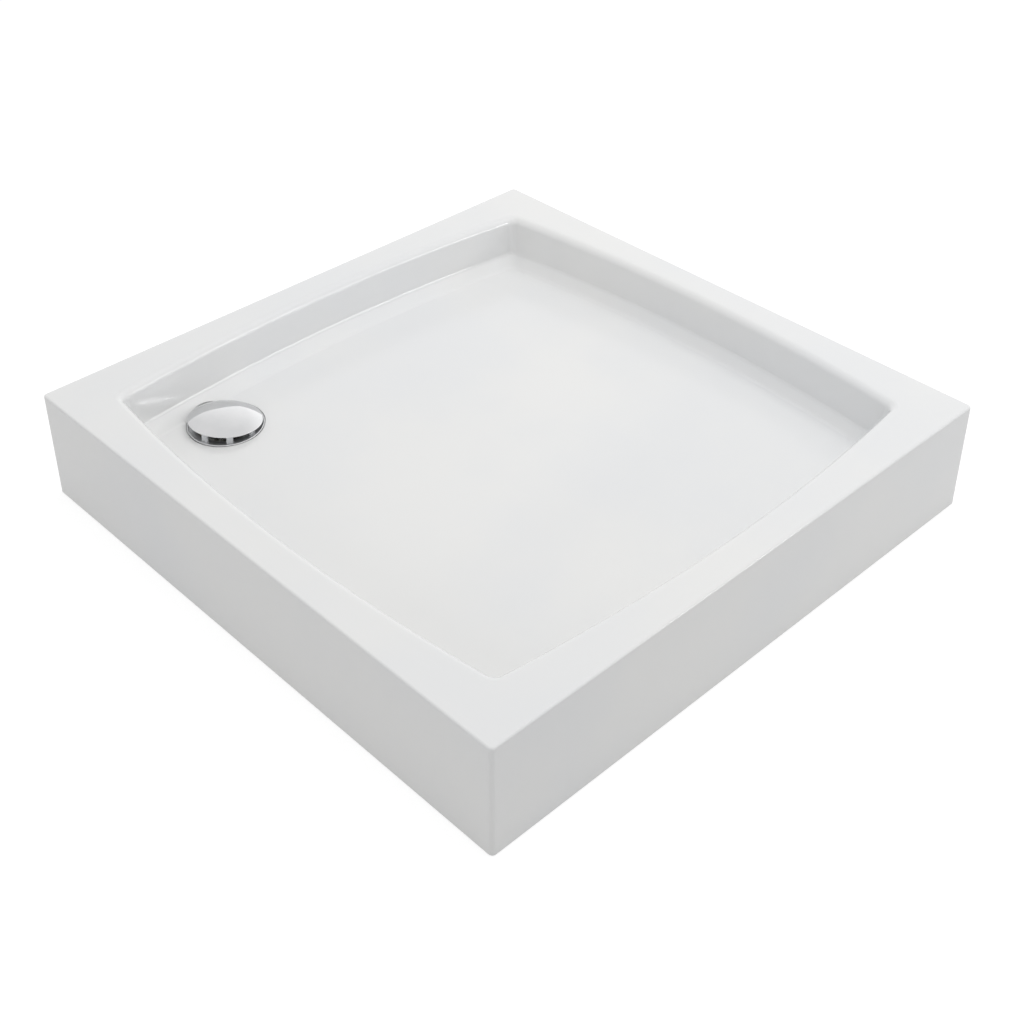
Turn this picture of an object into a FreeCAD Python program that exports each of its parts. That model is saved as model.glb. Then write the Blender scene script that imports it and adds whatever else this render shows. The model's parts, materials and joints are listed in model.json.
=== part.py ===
import FreeCAD, Part
import math
import os

# Square shower tray with its own aprons, a lift-out waste and levelling feet.
# Origin at the middle of the tray on the floor, +Z up, millimetres.
# "left" is -X, "front" is -Y; the waste is near the back left corner.

# ---- driving dimensions ----
foot_width = 900.0          # across the aprons at their lower edge
tray_height = 167.0         # floor to the top of the rim
floor_gap = 2.0             # the aprons stop this far above the floor
apron_draft = 1.5           # degrees from upright
corner_radius = 6.0         # upright outer corners
rim_outer_round = 3.0
rim_inner_round = 11.0
sheet = 4.0                 # moulded acrylic sheet
fibre = 3.0                 # glass fibre layer under it

rim_width = 40.0            # flat rim, from the outer top edge to the round at mid side
wall_draft = 5.0            # degrees from upright
wall_depth = 59.5           # rim down to where the wall turns into the ramp
ramp_angle = 41.0           # degrees from level
basin_depth = 75.0          # rim down to the middle of the basin floor
floor_fall = 0.004          # fall of the basin floor towards the waste corner
side_bow = 7.6              # half angle of the arc that each basin side follows
basin_corner = 14.0         # radius of the upright basin corners
ramp_corner = 28.0          # radius where two ramps meet
wall_foot_round = 7.0
ramp_foot_round = 9.0

board_top = 84.0
board_thickness = 16.0
board_half = 330.0
board_notch_x = -165.0      # the board is cut away left of and behind this corner
board_notch_y = 238.0
batten_width = 28.0
batten_height = 12.0
batten_length = 760.0
batten_gap = 2.5            # between a batten and the layer behind it

rail_web = 2.0
rail_height = 12.0
rail_width = 30.0
rail_length = 640.0
rail_screw_columns = (-240.0, -80.0, 80.0, 240.0)
plate_half = 46.0
plate_corner = 8.0
plate_screw_reach = 35.0
screw_radius = 2.0          # wood screw shank
screw_bite = 12.5           # length of the shank in the board
screw_head_radius = 4.4
screw_head_height = 2.6

foot_points = {
    "front_left": (-290.0, -300.0),
    "front_right": (290.0, -300.0),
    "back_left": (-290.0, 185.0),
    "back_right": (290.0, 185.0),
    "centre": (0.0, -55.0),
}
rod_radius = 6.0            # 12 mm rod with a 1.75 mm thread
rod_hole = 6.6
rod_foot = 4.0              # lower end of the rod inside the pad
running_gap = 0.06
nut_across_flats = 19.0
rod_across_flats = 14.0
weld_nut_height = 10.0
lock_nut_height = 7.0

drain_x = -248.5
drain_y = 312.0
tray_hole_radius = 44.5
seat_depth = 2.4            # the waste seat lies this far under the basin floor
seat_radius = 55.3
flange_radius = 54.5
flange_bore = 42.2
screw_circle = 38.6         # reach of the three waste screws from the middle
cap_radius = 53.0
cap_shoulder = 32.0         # reach of the nearly flat crown
shoulder_slope = 5.7        # degrees from level where the crown ends
edge_slope = 22.0           # degrees from level at the cap's edge
cap_lift = 11.5             # middle of the cap's edge above the waste seat
cap_lean = 6.6              # degrees; the cap stands higher on its left
cap_lean_turn = 14.0        # the highest spot lies this far towards the front
cap_lip = 1.2
leg_turn = 17.5             # degrees from +X to the first leg under the cap
bowl_radius = 46.0
bowl_wall = 2.5
bowl_bottom = -68.5         # heights in the waste are from the underside of the sheet there
mouth_radius = 57.0
shelf_bottom = -16.5        # solid shelf under the mouth that takes the screws
shelf_top = -8.5
shelf_bore = 33.0
weir_inner = 31.0
weir_outer = 33.5
weir_top = -22.5
outlet_depth = -36.5        # middle of the outlet
pipe_radius = 25.0
pipe_bore = 22.5
pipe_held = 24.5            # the stretch inside the trap is slimmer
boss_radius = 28.0
pipe_start = 62.0           # distances along the outlet are from the middle of the waste
pipe_shoulder = 85.0
outlet_end = 74.0
stem_radius = 4.0
notch_half = 38.0           # gap in the back apron for the pipe

# ---- worked out ----
fall_angle = math.degrees(math.atan(floor_fall))
slope_per_mm = math.tan(math.radians(apron_draft))
wall_slope = math.tan(math.radians(wall_draft))
ramp_slope = math.tan(math.radians(ramp_angle))
rim_half = foot_width / 2.0 - (tray_height - floor_gap) * slope_per_mm
round_reach = rim_inner_round * math.tan(math.radians((90.0 - wall_draft) / 2.0))
wall_top_half = rim_half - rim_width - round_reach
bow_sine = math.sin(math.radians(side_bow))
bow_lost = 1.0 - math.cos(math.radians(side_bow))
side_radius = (wall_top_half - basin_corner * (1.0 - bow_lost - bow_sine)) / (bow_sine + bow_lost)
board_bottom = board_top - board_thickness
nut_top = board_bottom - rail_web
lock_nut_top = nut_top - weld_nut_height
seat_level = board_top + sheet
flange_low = sheet + 1.0
cap_edge = sheet + cap_lift
pipe_level = board_top + outlet_depth
floor_at_waste = seat_level + seat_depth
shoulder_sine = math.sin(math.radians(shoulder_slope))
edge_sine = math.sin(math.radians(edge_slope))
crown_radius = cap_shoulder / shoulder_sine
brim_radius = (cap_radius - cap_shoulder) / (edge_sine - shoulder_sine)
brim_drop = brim_radius * (math.cos(math.radians(shoulder_slope)) - math.cos(math.radians(edge_slope)))
cap_rise = brim_drop + crown_radius * (1.0 - math.cos(math.radians(shoulder_slope)))
up = FreeCAD.Vector(0, 0, 1)
along_y = FreeCAD.Vector(0, 1, 0)


def point(x, y, z=0.0):
    return FreeCAD.Vector(x, y, z)


def turned(vector, degrees):
    return FreeCAD.Rotation(up, degrees).multVec(vector)


def closed_loop(corner_edges):
    return Part.Wire(Part.__sortEdges__(corner_edges))


def box(x_range, y_range, z_range):
    size = [high - low for low, high in (x_range, y_range, z_range)]
    return Part.makeBox(size[0], size[1], size[2], point(x_range[0], y_range[0], z_range[0]))


def post(x, y, radius, bottom, top):
    return Part.makeCylinder(radius, top - bottom, point(x, y, bottom))


def ring(inner, outer, bottom, top):
    return post(0, 0, outer, bottom, top).cut(post(0, 0, inner, bottom - 1, top + 1))


def rod_along_y(radius, start, end, z=0.0):
    return Part.makeCylinder(radius, end - start, point(0, start, z), along_y)


def tube_along_y(inner, outer, start, end, z=0.0):
    return rod_along_y(outer, start, end, z).cut(rod_along_y(inner, start - 1, end + 1, z))


def turned_shape(profile):
    """Solid of revolution about the upright line at the origin; profile points are radius, height."""
    points = [point(radius, 0, height) for radius, height in profile]
    face = Part.Face(Part.makePolygon(points + points[:1]))
    return face.revolve(point(0, 0), up, 360)


def moved(shape, x, y, z=0.0):
    shape.translate(point(x, y, z))
    return shape


def at_waste(shape):
    """Puts a piece drawn about the origin, height 0 under the sheet, where the waste is."""
    return moved(shape, drain_x, drain_y, board_top)


def hexagon(across_flats, bottom, top):
    reach = across_flats / math.sqrt(3.0)
    corners = [turned(point(reach, 0), 60 * step) + point(0, 0, bottom) for step in range(6)]
    face = Part.Face(Part.makePolygon(corners + corners[:1]))
    return face.extrude(point(0, 0, top - bottom))


def below_floor(level, angle):
    """Everything under the basin floor; the floor falls towards the back left corner."""
    reach = 1500.0
    slab = box((-reach, reach), (-reach, reach), (-200.0, 0.0))
    uphill = point(1, -1).normalize()
    slab.rotate(point(0, 0), uphill.cross(up), angle)
    slab.translate(point(0, 0, level))
    return slab


def rounded(solid, radius, wanted):
    """The solid with a round on each edge that the test accepts."""
    edges = [edge for edge in solid.Edges if wanted(edge)]
    return solid.makeFillet(radius, edges)


def frustum(low_half, high_half, bottom, top):
    """Square block whose four sides lean inwards."""
    height = top - bottom
    block = Part.makeWedge(
        -low_half, 0, -low_half, -high_half, -high_half, low_half, height, low_half, high_half, high_half)
    block.rotate(point(0, 0), point(1, 0), 90)
    block.translate(point(0, 0, bottom))
    return block


def bowed_space(rim_radius, slope):
    """Space inside four wide upright cones, one behind each side of the basin."""
    low = 50.0
    high = tray_height + 12.0
    low_radius = rim_radius - (tray_height - low) * slope
    high_radius = rim_radius + (high - tray_height) * slope
    space = None
    for quarter in range(4):
        centre = turned(point(wall_top_half - side_radius, 0), 90 * quarter) + point(0, 0, low)
        cone = Part.makeCone(low_radius, high_radius, high - low, centre)
        cone.rotate(centre, up, 180 + 90 * quarter)
        space = cone if space is None else space.common(cone)
    return space


def is_corner_edge(edge):
    """True for an edge that climbs along a diagonal of the tray."""
    ends = edge.Vertexes
    climbs = len(ends) == 2 and abs(ends[0].Z - ends[1].Z) > 10
    return climbs and all(abs(abs(end.X) - abs(end.Y)) < 0.5 for end in ends)


def basin_space(inset, floor_level, angle):
    """The hollow of the basin, or the same form grown outwards by the inset."""
    walls = bowed_space(side_radius + inset / math.cos(math.radians(wall_draft)), wall_slope)
    walls = rounded(walls, basin_corner + inset, is_corner_edge)
    ramp_radius = side_radius - wall_depth * wall_slope + wall_depth / ramp_slope
    ramps = bowed_space(ramp_radius + inset / math.sin(math.radians(ramp_angle)), 1.0 / ramp_slope)
    ramps = rounded(ramps, ramp_corner + inset, is_corner_edge)
    space = walls.common(ramps).cut(below_floor(floor_level, angle))
    wall_foot = tray_height - wall_depth

    def heights(edge):
        span = edge.LastParameter - edge.FirstParameter
        return [edge.valueAt(edge.FirstParameter + span * step / 4.0) for step in range(5)]

    def at_wall_foot(edge):
        levels = [spot.z for spot in heights(edge)]
        return max(levels) - min(levels) < 4 and wall_foot - 16 < min(levels) and max(levels) < wall_foot + 6

    def at_ramp_foot(edge):
        rise = math.tan(math.radians(angle)) / math.sqrt(2.0)
        return all(abs(floor_level + (spot.x - spot.y) * rise - spot.z) < 0.05 for spot in heights(edge))

    def between(edge):
        return at_wall_foot(edge) and not at_ramp_foot(edge)

    space = rounded(space, wall_foot_round + inset, between)
    return rounded(space, ramp_foot_round + inset, at_ramp_foot)


def massive_tray(inset, bottom, floor_level, angle):
    """The tray as if solid; the inset moves every surface into the material."""
    top = tray_height - inset
    low_half = foot_width / 2.0 - inset + (floor_gap - bottom) * slope_per_mm
    high_half = rim_half - inset + inset * slope_per_mm
    block = frustum(low_half, high_half, bottom, top)
    block = rounded(block, max(corner_radius - inset, 1.0), is_corner_edge)

    def at_top(edge):
        return all(abs(vertex.Z - top) < 0.01 for vertex in edge.Vertexes)

    if rim_outer_round - inset > 0.5:
        block = rounded(block, rim_outer_round - inset, at_top)
    solid = block.cut(basin_space(inset, floor_level, angle))

    def at_basin_rim(edge):
        middle = edge.valueAt((edge.FirstParameter + edge.LastParameter) / 2.0)
        near = max(abs(middle.x), abs(middle.y)) < rim_half - rim_width
        return at_top(edge) and near

    return rounded(solid, rim_inner_round - inset, at_basin_rim)


def pipe_notch():
    """Gap in the back apron that the waste pipe leaves through."""
    inside = foot_width / 2.0 - 20.0
    outside = foot_width / 2.0 + 10.0
    arch = moved(rod_along_y(notch_half, inside, outside), drain_x, 0, pipe_level)
    below = box((drain_x - notch_half, drain_x + notch_half), (inside, outside), (-5.0, pipe_level))
    return arch.fuse(below)


def tray_shell(outer, under):
    pad_radius = 63.0
    seat_flare = 0.7
    scoop_height = 25.0
    seat_middle = point(drain_x, drain_y, seat_level)
    shell = outer.cut(under)
    shell = shell.fuse(post(drain_x, drain_y, pad_radius, board_top, seat_level - 0.5))
    scoop_radius = seat_radius + seat_flare
    flare = Part.makeCone(seat_radius, scoop_radius, seat_depth, seat_middle)
    scoop = post(drain_x, drain_y, scoop_radius, floor_at_waste, floor_at_waste + scoop_height)
    shell = shell.cut(flare.fuse(scoop))
    shell = shell.cut(post(drain_x, drain_y, tray_hole_radius, board_top - 5, seat_level + 5))
    return shell.cut(pipe_notch()).removeSplitter()


def glass_fibre_layer(under, core):
    lower_edge = 58.0
    round_waste = 70.0
    reach = foot_width
    layer = under.cut(core)
    layer = layer.cut(box((-reach, reach), (-reach, reach), (-50.0, lower_edge)))
    layer = layer.cut(post(drain_x, drain_y, round_waste, lower_edge - 20, tray_height - 60))
    return layer.cut(pipe_notch())


def base_board():
    rod_way = rod_radius + 2.0
    below = board_bottom - 1
    above = board_top + 1
    board = box((-board_half, board_half), (-board_half, board_half), (board_bottom, board_top))
    board = board.cut(box((-board_half - 5, board_notch_x), (board_notch_y, board_half + 5), (below, above)))
    for x, y in foot_points.values():
        board = board.cut(post(x, y, rod_way, below, above))
    for x, y in all_screw_points():
        board = board.cut(post(x, y, screw_radius + 0.05, below, board_bottom + screw_bite + 0.5))
    return board


def rim_batten(side):
    """Wooden strip under the flat rim; side 0 is right, 1 back, 2 left, 3 front."""
    top = tray_height - sheet - fibre
    outer = rim_half - sheet - fibre - batten_gap
    half = batten_length / 2.0
    batten = box((outer - batten_width, outer), (-half, half), (top - batten_height, top))
    batten.rotate(point(0, 0), up, 90 * side)
    return batten


def rail_screw_points(y):
    return [(x, y) for x in rail_screw_columns]


def plate_screw_points():
    x, y = foot_points["centre"]
    sides = (-plate_screw_reach, plate_screw_reach)
    return [(x + dx, y + dy) for dx in sides for dy in sides]


def all_screw_points():
    front = rail_screw_points(foot_points["front_left"][1])
    back = rail_screw_points(foot_points["back_left"][1])
    return front + back + plate_screw_points()


def support_rail(y):
    """Galvanised channel under the board, open side down."""
    half = rail_width / 2.0
    inner = half - rail_web
    reach = rail_length / 2.0
    low = board_bottom - rail_height
    rail = box((-reach, reach), (y - half, y + half), (low, board_bottom))
    rail = rail.cut(box((-reach - 1, reach + 1), (y - inner, y + inner), (low - 1, nut_top)))
    for x, foot_y in foot_points.values():
        if abs(foot_y - y) < 1:
            rail = rail.cut(post(x, y, rod_hole, low, board_bottom + 1))
    for x, screw_y in rail_screw_points(y):
        rail = rail.cut(post(x, screw_y, screw_radius + 0.3, low, board_bottom + 1))
    return rail


def centre_foot_plate():
    x, y = foot_points["centre"]
    plate = box((x - plate_half, x + plate_half), (y - plate_half, y + plate_half), (nut_top, board_bottom))
    plate = rounded(plate, plate_corner, lambda edge: abs(edge.Vertexes[0].Z - edge.Vertexes[-1].Z) > 1)
    plate = plate.cut(post(x, y, rod_hole, nut_top - 1, board_bottom + 1))
    for screw_x, screw_y in plate_screw_points():
        plate = plate.cut(post(screw_x, screw_y, screw_radius + 0.3, nut_top - 1, board_bottom + 1))
    return plate


def wood_screw(x, y):
    head_low = nut_top - screw_head_height
    head = post(x, y, screw_head_radius, head_low, nut_top)
    head = rounded(head, 1.6, lambda edge: abs(edge.CenterOfMass.z - head_low) < 0.01)
    return head.fuse(post(x, y, screw_radius, nut_top, board_bottom + screw_bite))


def wood_screws(points):
    return Part.makeCompound([wood_screw(x, y) for x, y in points])


def nut(x, y, bottom, top):
    solid = hexagon(nut_across_flats, bottom, top)
    solid = solid.cut(post(0, 0, rod_radius + running_gap, bottom - 1, top + 1))
    return moved(solid, x, y)


def nuts(bottom, top):
    return Part.makeCompound([nut(x, y, bottom, top) for x, y in foot_points.values()])


def foot_pad(x, y):
    """Plastic foot with a socket that the rod turns in."""
    profile = [(0, 0), (24, 0), (25, 1), (25, 4), (21, 6), (12, 14), (12, 16), (0, 16)]
    pad = turned_shape(profile)
    pad = pad.cut(post(0, 0, rod_radius + running_gap, rod_foot, 20.0))
    return moved(pad, x, y)


def foot_rod(x, y):
    """Threaded rod with a hexagon to turn it by."""
    top = board_top - 1.0
    tip = rod_radius - 1.0
    profile = [(0, rod_foot), (rod_radius, rod_foot), (rod_radius, top - 1), (tip, top), (0, top)]
    rod = turned_shape(profile).fuse(hexagon(rod_across_flats, 16.5, 24.0))
    return moved(rod, x, y)


def upper_gasket():
    return at_waste(ring(45.0, 54.0, sheet, flange_low))


def flange_screw_points():
    around = [turned(point(screw_circle, 0), 30 + 120 * step) for step in range(3)]
    return [(spot.x, spot.y) for spot in around]


def waste_flange():
    """Bright ring with a rolled edge, a collar through the tray and a shelf for the screws."""
    edge = flange_radius - 0.8
    shelf_rise = 2.0
    profile = [
        (shelf_bore + 0.5, shelf_top), (43.8, shelf_top), (43.8, flange_low), (edge, flange_low),
        (flange_radius, flange_low + 0.8), (flange_radius, flange_low + 1.8), (edge, flange_low + 2.6),
        (edge - 1.4, flange_low + 2.6), (edge - 2.8, flange_low + 1.5), (flange_bore + 0.8, flange_low + 1.5),
        (flange_bore, flange_low + 0.8), (flange_bore, shelf_top + shelf_rise),
        (shelf_bore + 0.5, shelf_top + shelf_rise),
    ]
    flange = turned_shape(profile)
    for x, y in flange_screw_points():
        flange = flange.cut(post(x, y, 2.1, shelf_top - 5, shelf_top + 5))
    return at_waste(flange)


def flange_screw(x, y):
    seat = shelf_top + 2.0
    top = seat + 2.2
    head = rounded(post(x, y, 3.1, seat, top), 1.2, lambda edge: abs(edge.CenterOfMass.z - top) < 0.01)
    return head.fuse(post(x, y, 1.9, seat - 9.0, seat))


def flange_screws():
    return at_waste(Part.makeCompound([flange_screw(x, y) for x, y in flange_screw_points()]))


def lower_gasket():
    return at_waste(ring(bowl_radius, mouth_radius, -3.0, 0.0))


def trap_body():
    """Low trap: round bowl, weir ring inside, threaded outlet towards the back."""
    mouth = -3.0
    lip = 44.4
    inside = bowl_radius - bowl_wall
    floor = bowl_bottom + bowl_wall
    profile = [
        (0, bowl_bottom), (bowl_radius - 3, bowl_bottom), (bowl_radius, bowl_bottom + 3),
        (bowl_radius, mouth - 3), (mouth_radius, mouth - 3), (mouth_radius, mouth), (lip, mouth),
        (lip, shelf_top), (shelf_bore, shelf_top), (shelf_bore, shelf_bottom), (inside, shelf_bottom),
        (inside, floor + 1.5), (inside - 1.5, floor), (0, floor),
    ]
    body = turned_shape(profile).fuse(ring(weir_inner, weir_outer, floor - 0.5, weir_top))
    boss = rod_along_y(boss_radius, bowl_radius - 6, outlet_end, outlet_depth)
    body = body.fuse(boss.cut(post(0, 0, bowl_radius - 2, bowl_bottom - 20, 20.0)))
    body = body.cut(rod_along_y(pipe_bore, bowl_radius - 10, outlet_end + 6, outlet_depth))
    body = body.cut(rod_along_y(pipe_held + 0.1, pipe_start, outlet_end + 6, outlet_depth))
    for x, y in flange_screw_points():
        body = body.cut(post(x, y, 1.95, shelf_bottom + 0.8, shelf_top + 1))
    return at_waste(body)


def union_nut():
    """Ribbed nut that draws the seal against the outlet."""
    start = pipe_start - 4.0
    end = start + 26.0
    outer = 33.0
    solid = tube_along_y(pipe_held + 0.3, outer, start, end)
    solid = solid.cut(rod_along_y(boss_radius + 0.1, start - 1, end - 4))
    for step in range(12):
        direction = FreeCAD.Rotation(along_y, 30 * step).multVec(point(outer + 0.6, 0, 0))
        groove = Part.makeCylinder(2.2, end - start, point(0, start) + direction, along_y)
        solid = solid.cut(groove)
    return at_waste(moved(solid, 0, 0, outlet_depth))


def outlet_seal():
    return at_waste(tube_along_y(pipe_held + 0.05, boss_radius, outlet_end, outlet_end + 5.0, outlet_depth))


def outlet_pipe():
    """Short 50 mm pipe, held in the trap by its slimmer end."""
    end = foot_width / 2.0 - 2.0 - drain_y
    held = tube_along_y(pipe_bore, pipe_held, pipe_start, pipe_shoulder, outlet_depth)
    free = tube_along_y(pipe_bore, pipe_radius, pipe_shoulder, end, outlet_depth)
    return at_waste(held.fuse(free))


def dip_tube():
    """Lift-out tube that keeps the water seal, with a grip post held by three arms."""
    skirt = -60.5
    profile = [
        (19, skirt), (21, skirt), (21, -20.5), (29.6, -14), (29.6, -10.5), (30.8, -10.5), (30.8, -6.5),
        (35, -6.5), (35, -5), (28, -5), (28, -13), (19, -19.5),
    ]
    tube = turned_shape(profile).fuse(ring(29.0, 30.8, -14.7, -13.6))
    for step in range(3):
        arm = box((4.5, 28.5), (-1.25, 1.25), (-12.5, -6.5))
        arm.rotate(point(0, 0), up, 90 + 120 * step)
        tube = tube.fuse(arm)
    return at_waste(tube.fuse(ring(stem_radius + running_gap, 6.5, -14.5, 3.5)))


def insert_o_ring():
    return at_waste(Part.makeTorus(31.2, 1.55, point(0, 0, -12.05)))


def leaning(shape):
    """Tips a piece of the cap about the middle of its edge, left side up."""
    shape.rotate(point(0, 0, cap_edge), turned(along_y, cap_lean_turn), cap_lean)
    return shape


def cap_carrier():
    """Moulded ring under the cap: eight legs cut level, four arms, a hub and an upright stem."""
    low = cap_edge - 2.4
    top = low + 2.0
    leg_foot = flange_low + 1.5
    carrier = ring(40.0, 49.0, low, top)
    for step in range(4):
        arm = box((6.0, 41.0), (-2.5, 2.5), (low, top))
        arm.rotate(point(0, 0), up, 45 + 90 * step)
        carrier = carrier.fuse(arm)
    for step in range(8):
        leg = box((44.5, 47.5), (-4.5, 4.5), (leg_foot - 10.0, low + 0.5))
        leg.rotate(point(0, 0), up, leg_turn + 45 * step)
        carrier = carrier.fuse(leg)
    carrier = carrier.fuse(post(0, 0, 2 * stem_radius, low, cap_edge + cap_rise - 1.6))
    carrier = leaning(carrier).cut(post(0, 0, 2 * cap_radius, leg_foot - 20.0, leg_foot))
    return at_waste(carrier.fuse(post(0, 0, stem_radius, -10.5, low + 1.0)))


def cap_profile(skin):
    """Two arcs, crown and brim, from the middle to the edge; the skin moves them inwards."""
    top = cap_edge + cap_rise
    crown_middle = top - crown_radius
    brim_middle = crown_middle + (crown_radius - brim_radius) * math.cos(math.radians(shoulder_slope))
    brim_reach = cap_shoulder - brim_radius * shoulder_sine

    def on_crown(degrees):
        radius = crown_radius - skin
        angle = math.radians(degrees)
        return point(radius * math.sin(angle), 0, crown_middle + radius * math.cos(angle))

    def on_brim(degrees):
        radius = brim_radius - skin
        angle = math.radians(degrees)
        return point(brim_reach + radius * math.sin(angle), 0, brim_middle + radius * math.cos(angle))

    halfway = (shoulder_slope + edge_slope) / 2.0
    crown = Part.Arc(on_crown(0), on_crown(shoulder_slope / 2.0), on_crown(shoulder_slope)).toShape()
    brim = Part.Arc(on_brim(shoulder_slope), on_brim(halfway), on_brim(edge_slope)).toShape()
    return [crown, brim], on_crown(0), on_brim(edge_slope)


def dome_cap():
    """Bright cap: a nearly flat crown, a brim that falls away and a turned-down edge."""
    skin = 1.2
    low = cap_edge - cap_lip
    outside, outer_top, outer_edge = cap_profile(0.0)
    inside, inner_top, inner_edge = cap_profile(skin)
    outer_lip = point(outer_edge.x, 0, low)
    inner_lip = point(inner_edge.x, 0, low)
    outline = outside + inside + [
        Part.makeLine(outer_edge, outer_lip),
        Part.makeLine(outer_lip, inner_lip),
        Part.makeLine(inner_lip, inner_edge),
        Part.makeLine(inner_top, outer_top),
    ]
    return at_waste(leaning(Part.Face(closed_loop(outline)).revolve(point(0, 0), up, 360)))


def save(name, shape):
    solids = shape.Solids
    if not solids or not shape.isValid():
        raise RuntimeError(name + " is not a sound solid")
    shape.exportStep("parts/" + name + ".step")
    volume = sum(solid.Volume for solid in solids)
    print(name, len(solids), "solid", round(volume / 1000.0, 1), "cm3")


def main():
    os.makedirs("parts", exist_ok=True)
    basin_floor = tray_height - basin_depth
    outer = massive_tray(0.0, floor_gap, basin_floor, fall_angle)
    under = massive_tray(sheet, -10.0, basin_floor - sheet, fall_angle)
    core = massive_tray(sheet + fibre, -12.0, board_top, 0.0)
    save("tray_shell", tray_shell(outer, under))
    save("glass_fibre_layer", glass_fibre_layer(under, core))
    save("base_board", base_board())
    for side, name in enumerate(("right", "back", "left", "front")):
        save("rim_batten_" + name, rim_batten(side))
    for name in ("front", "back"):
        y = foot_points[name + "_left"][1]
        save(name + "_rail", support_rail(y))
        save(name + "_rail_screws", wood_screws(rail_screw_points(y)))
    save("centre_foot_plate", centre_foot_plate())
    save("centre_plate_screws", wood_screws(plate_screw_points()))
    save("weld_nuts", nuts(lock_nut_top, nut_top))
    save("lock_nuts", nuts(lock_nut_top - lock_nut_height, lock_nut_top))
    for name, (x, y) in foot_points.items():
        save("foot_pad_" + name, foot_pad(x, y))
        save("foot_rod_" + name, foot_rod(x, y))
    save("upper_gasket", upper_gasket())
    save("waste_flange", waste_flange())
    save("flange_screws", flange_screws())
    save("lower_gasket", lower_gasket())
    save("trap_body", trap_body())
    save("union_nut", union_nut())
    save("outlet_seal", outlet_seal())
    save("outlet_pipe", outlet_pipe())
    save("dip_tube", dip_tube())
    save("insert_o_ring", insert_o_ring())
    save("cap_carrier", cap_carrier())
    save("dome_cap", dome_cap())


main()
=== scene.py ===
import bpy
import bmesh
import json
import math
from mathutils import Matrix, Vector


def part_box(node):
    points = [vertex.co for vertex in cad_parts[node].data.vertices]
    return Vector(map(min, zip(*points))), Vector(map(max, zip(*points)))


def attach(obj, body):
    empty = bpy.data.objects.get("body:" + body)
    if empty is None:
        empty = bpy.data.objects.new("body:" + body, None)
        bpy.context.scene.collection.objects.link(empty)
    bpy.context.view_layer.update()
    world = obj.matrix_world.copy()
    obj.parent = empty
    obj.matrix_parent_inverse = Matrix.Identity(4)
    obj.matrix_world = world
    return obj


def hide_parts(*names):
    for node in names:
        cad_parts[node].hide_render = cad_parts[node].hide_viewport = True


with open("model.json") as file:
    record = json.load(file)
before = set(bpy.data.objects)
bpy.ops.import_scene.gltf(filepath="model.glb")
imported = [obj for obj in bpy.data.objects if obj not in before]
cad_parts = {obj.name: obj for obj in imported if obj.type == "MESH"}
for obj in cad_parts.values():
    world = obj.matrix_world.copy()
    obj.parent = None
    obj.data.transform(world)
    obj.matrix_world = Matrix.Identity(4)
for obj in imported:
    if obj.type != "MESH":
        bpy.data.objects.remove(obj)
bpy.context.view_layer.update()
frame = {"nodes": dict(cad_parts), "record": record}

scene = bpy.context.scene
nodes = frame["nodes"]
mm = 0.001
merge = 0.0000005                              # metres between points that are taken as one
print("frame loaded,", len(nodes), "nodes")


# shader maths: a socket that takes part in Python expressions

class Value:
    def __init__(self, paint, socket):
        self.paint, self.socket = paint, socket

    def maths(self, operation, first, second):
        return self.paint.node("ShaderNodeMath", {"operation": operation}, {0: first, 1: second})

    def __add__(self, other):
        return self.maths("ADD", self, other)

    def __radd__(self, other):
        return self.maths("ADD", other, self)

    def __sub__(self, other):
        return self.maths("SUBTRACT", self, other)

    def __rsub__(self, other):
        return self.maths("SUBTRACT", other, self)

    def __mul__(self, other):
        return self.maths("MULTIPLY", self, other)

    def __rmul__(self, other):
        return self.maths("MULTIPLY", other, self)

    def __gt__(self, other):
        return self.maths("GREATER_THAN", self, other)

    def __lt__(self, other):
        return self.maths("LESS_THAN", self, other)

    def smooth(self, low, high):               # 0 at low and 1 at high, eased between
        settings = {"interpolation_type": "SMOOTHSTEP"}
        return self.paint.node("ShaderNodeMapRange", settings, {0: self, 1: low, 2: high})


class NodeTree:
    def __init__(self, tree):
        self.tree = tree

    def node(self, kind, settings=None, inputs=None, output=0):
        made = self.tree.nodes.new(kind)
        for name, value in (settings or {}).items():
            setattr(made, name, value)
        for key, value in (inputs or {}).items():
            if isinstance(value, Value):
                self.tree.links.new(value.socket, made.inputs[key])
            else:
                made.inputs[key].default_value = value
        return Value(self, made.outputs[output])


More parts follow.
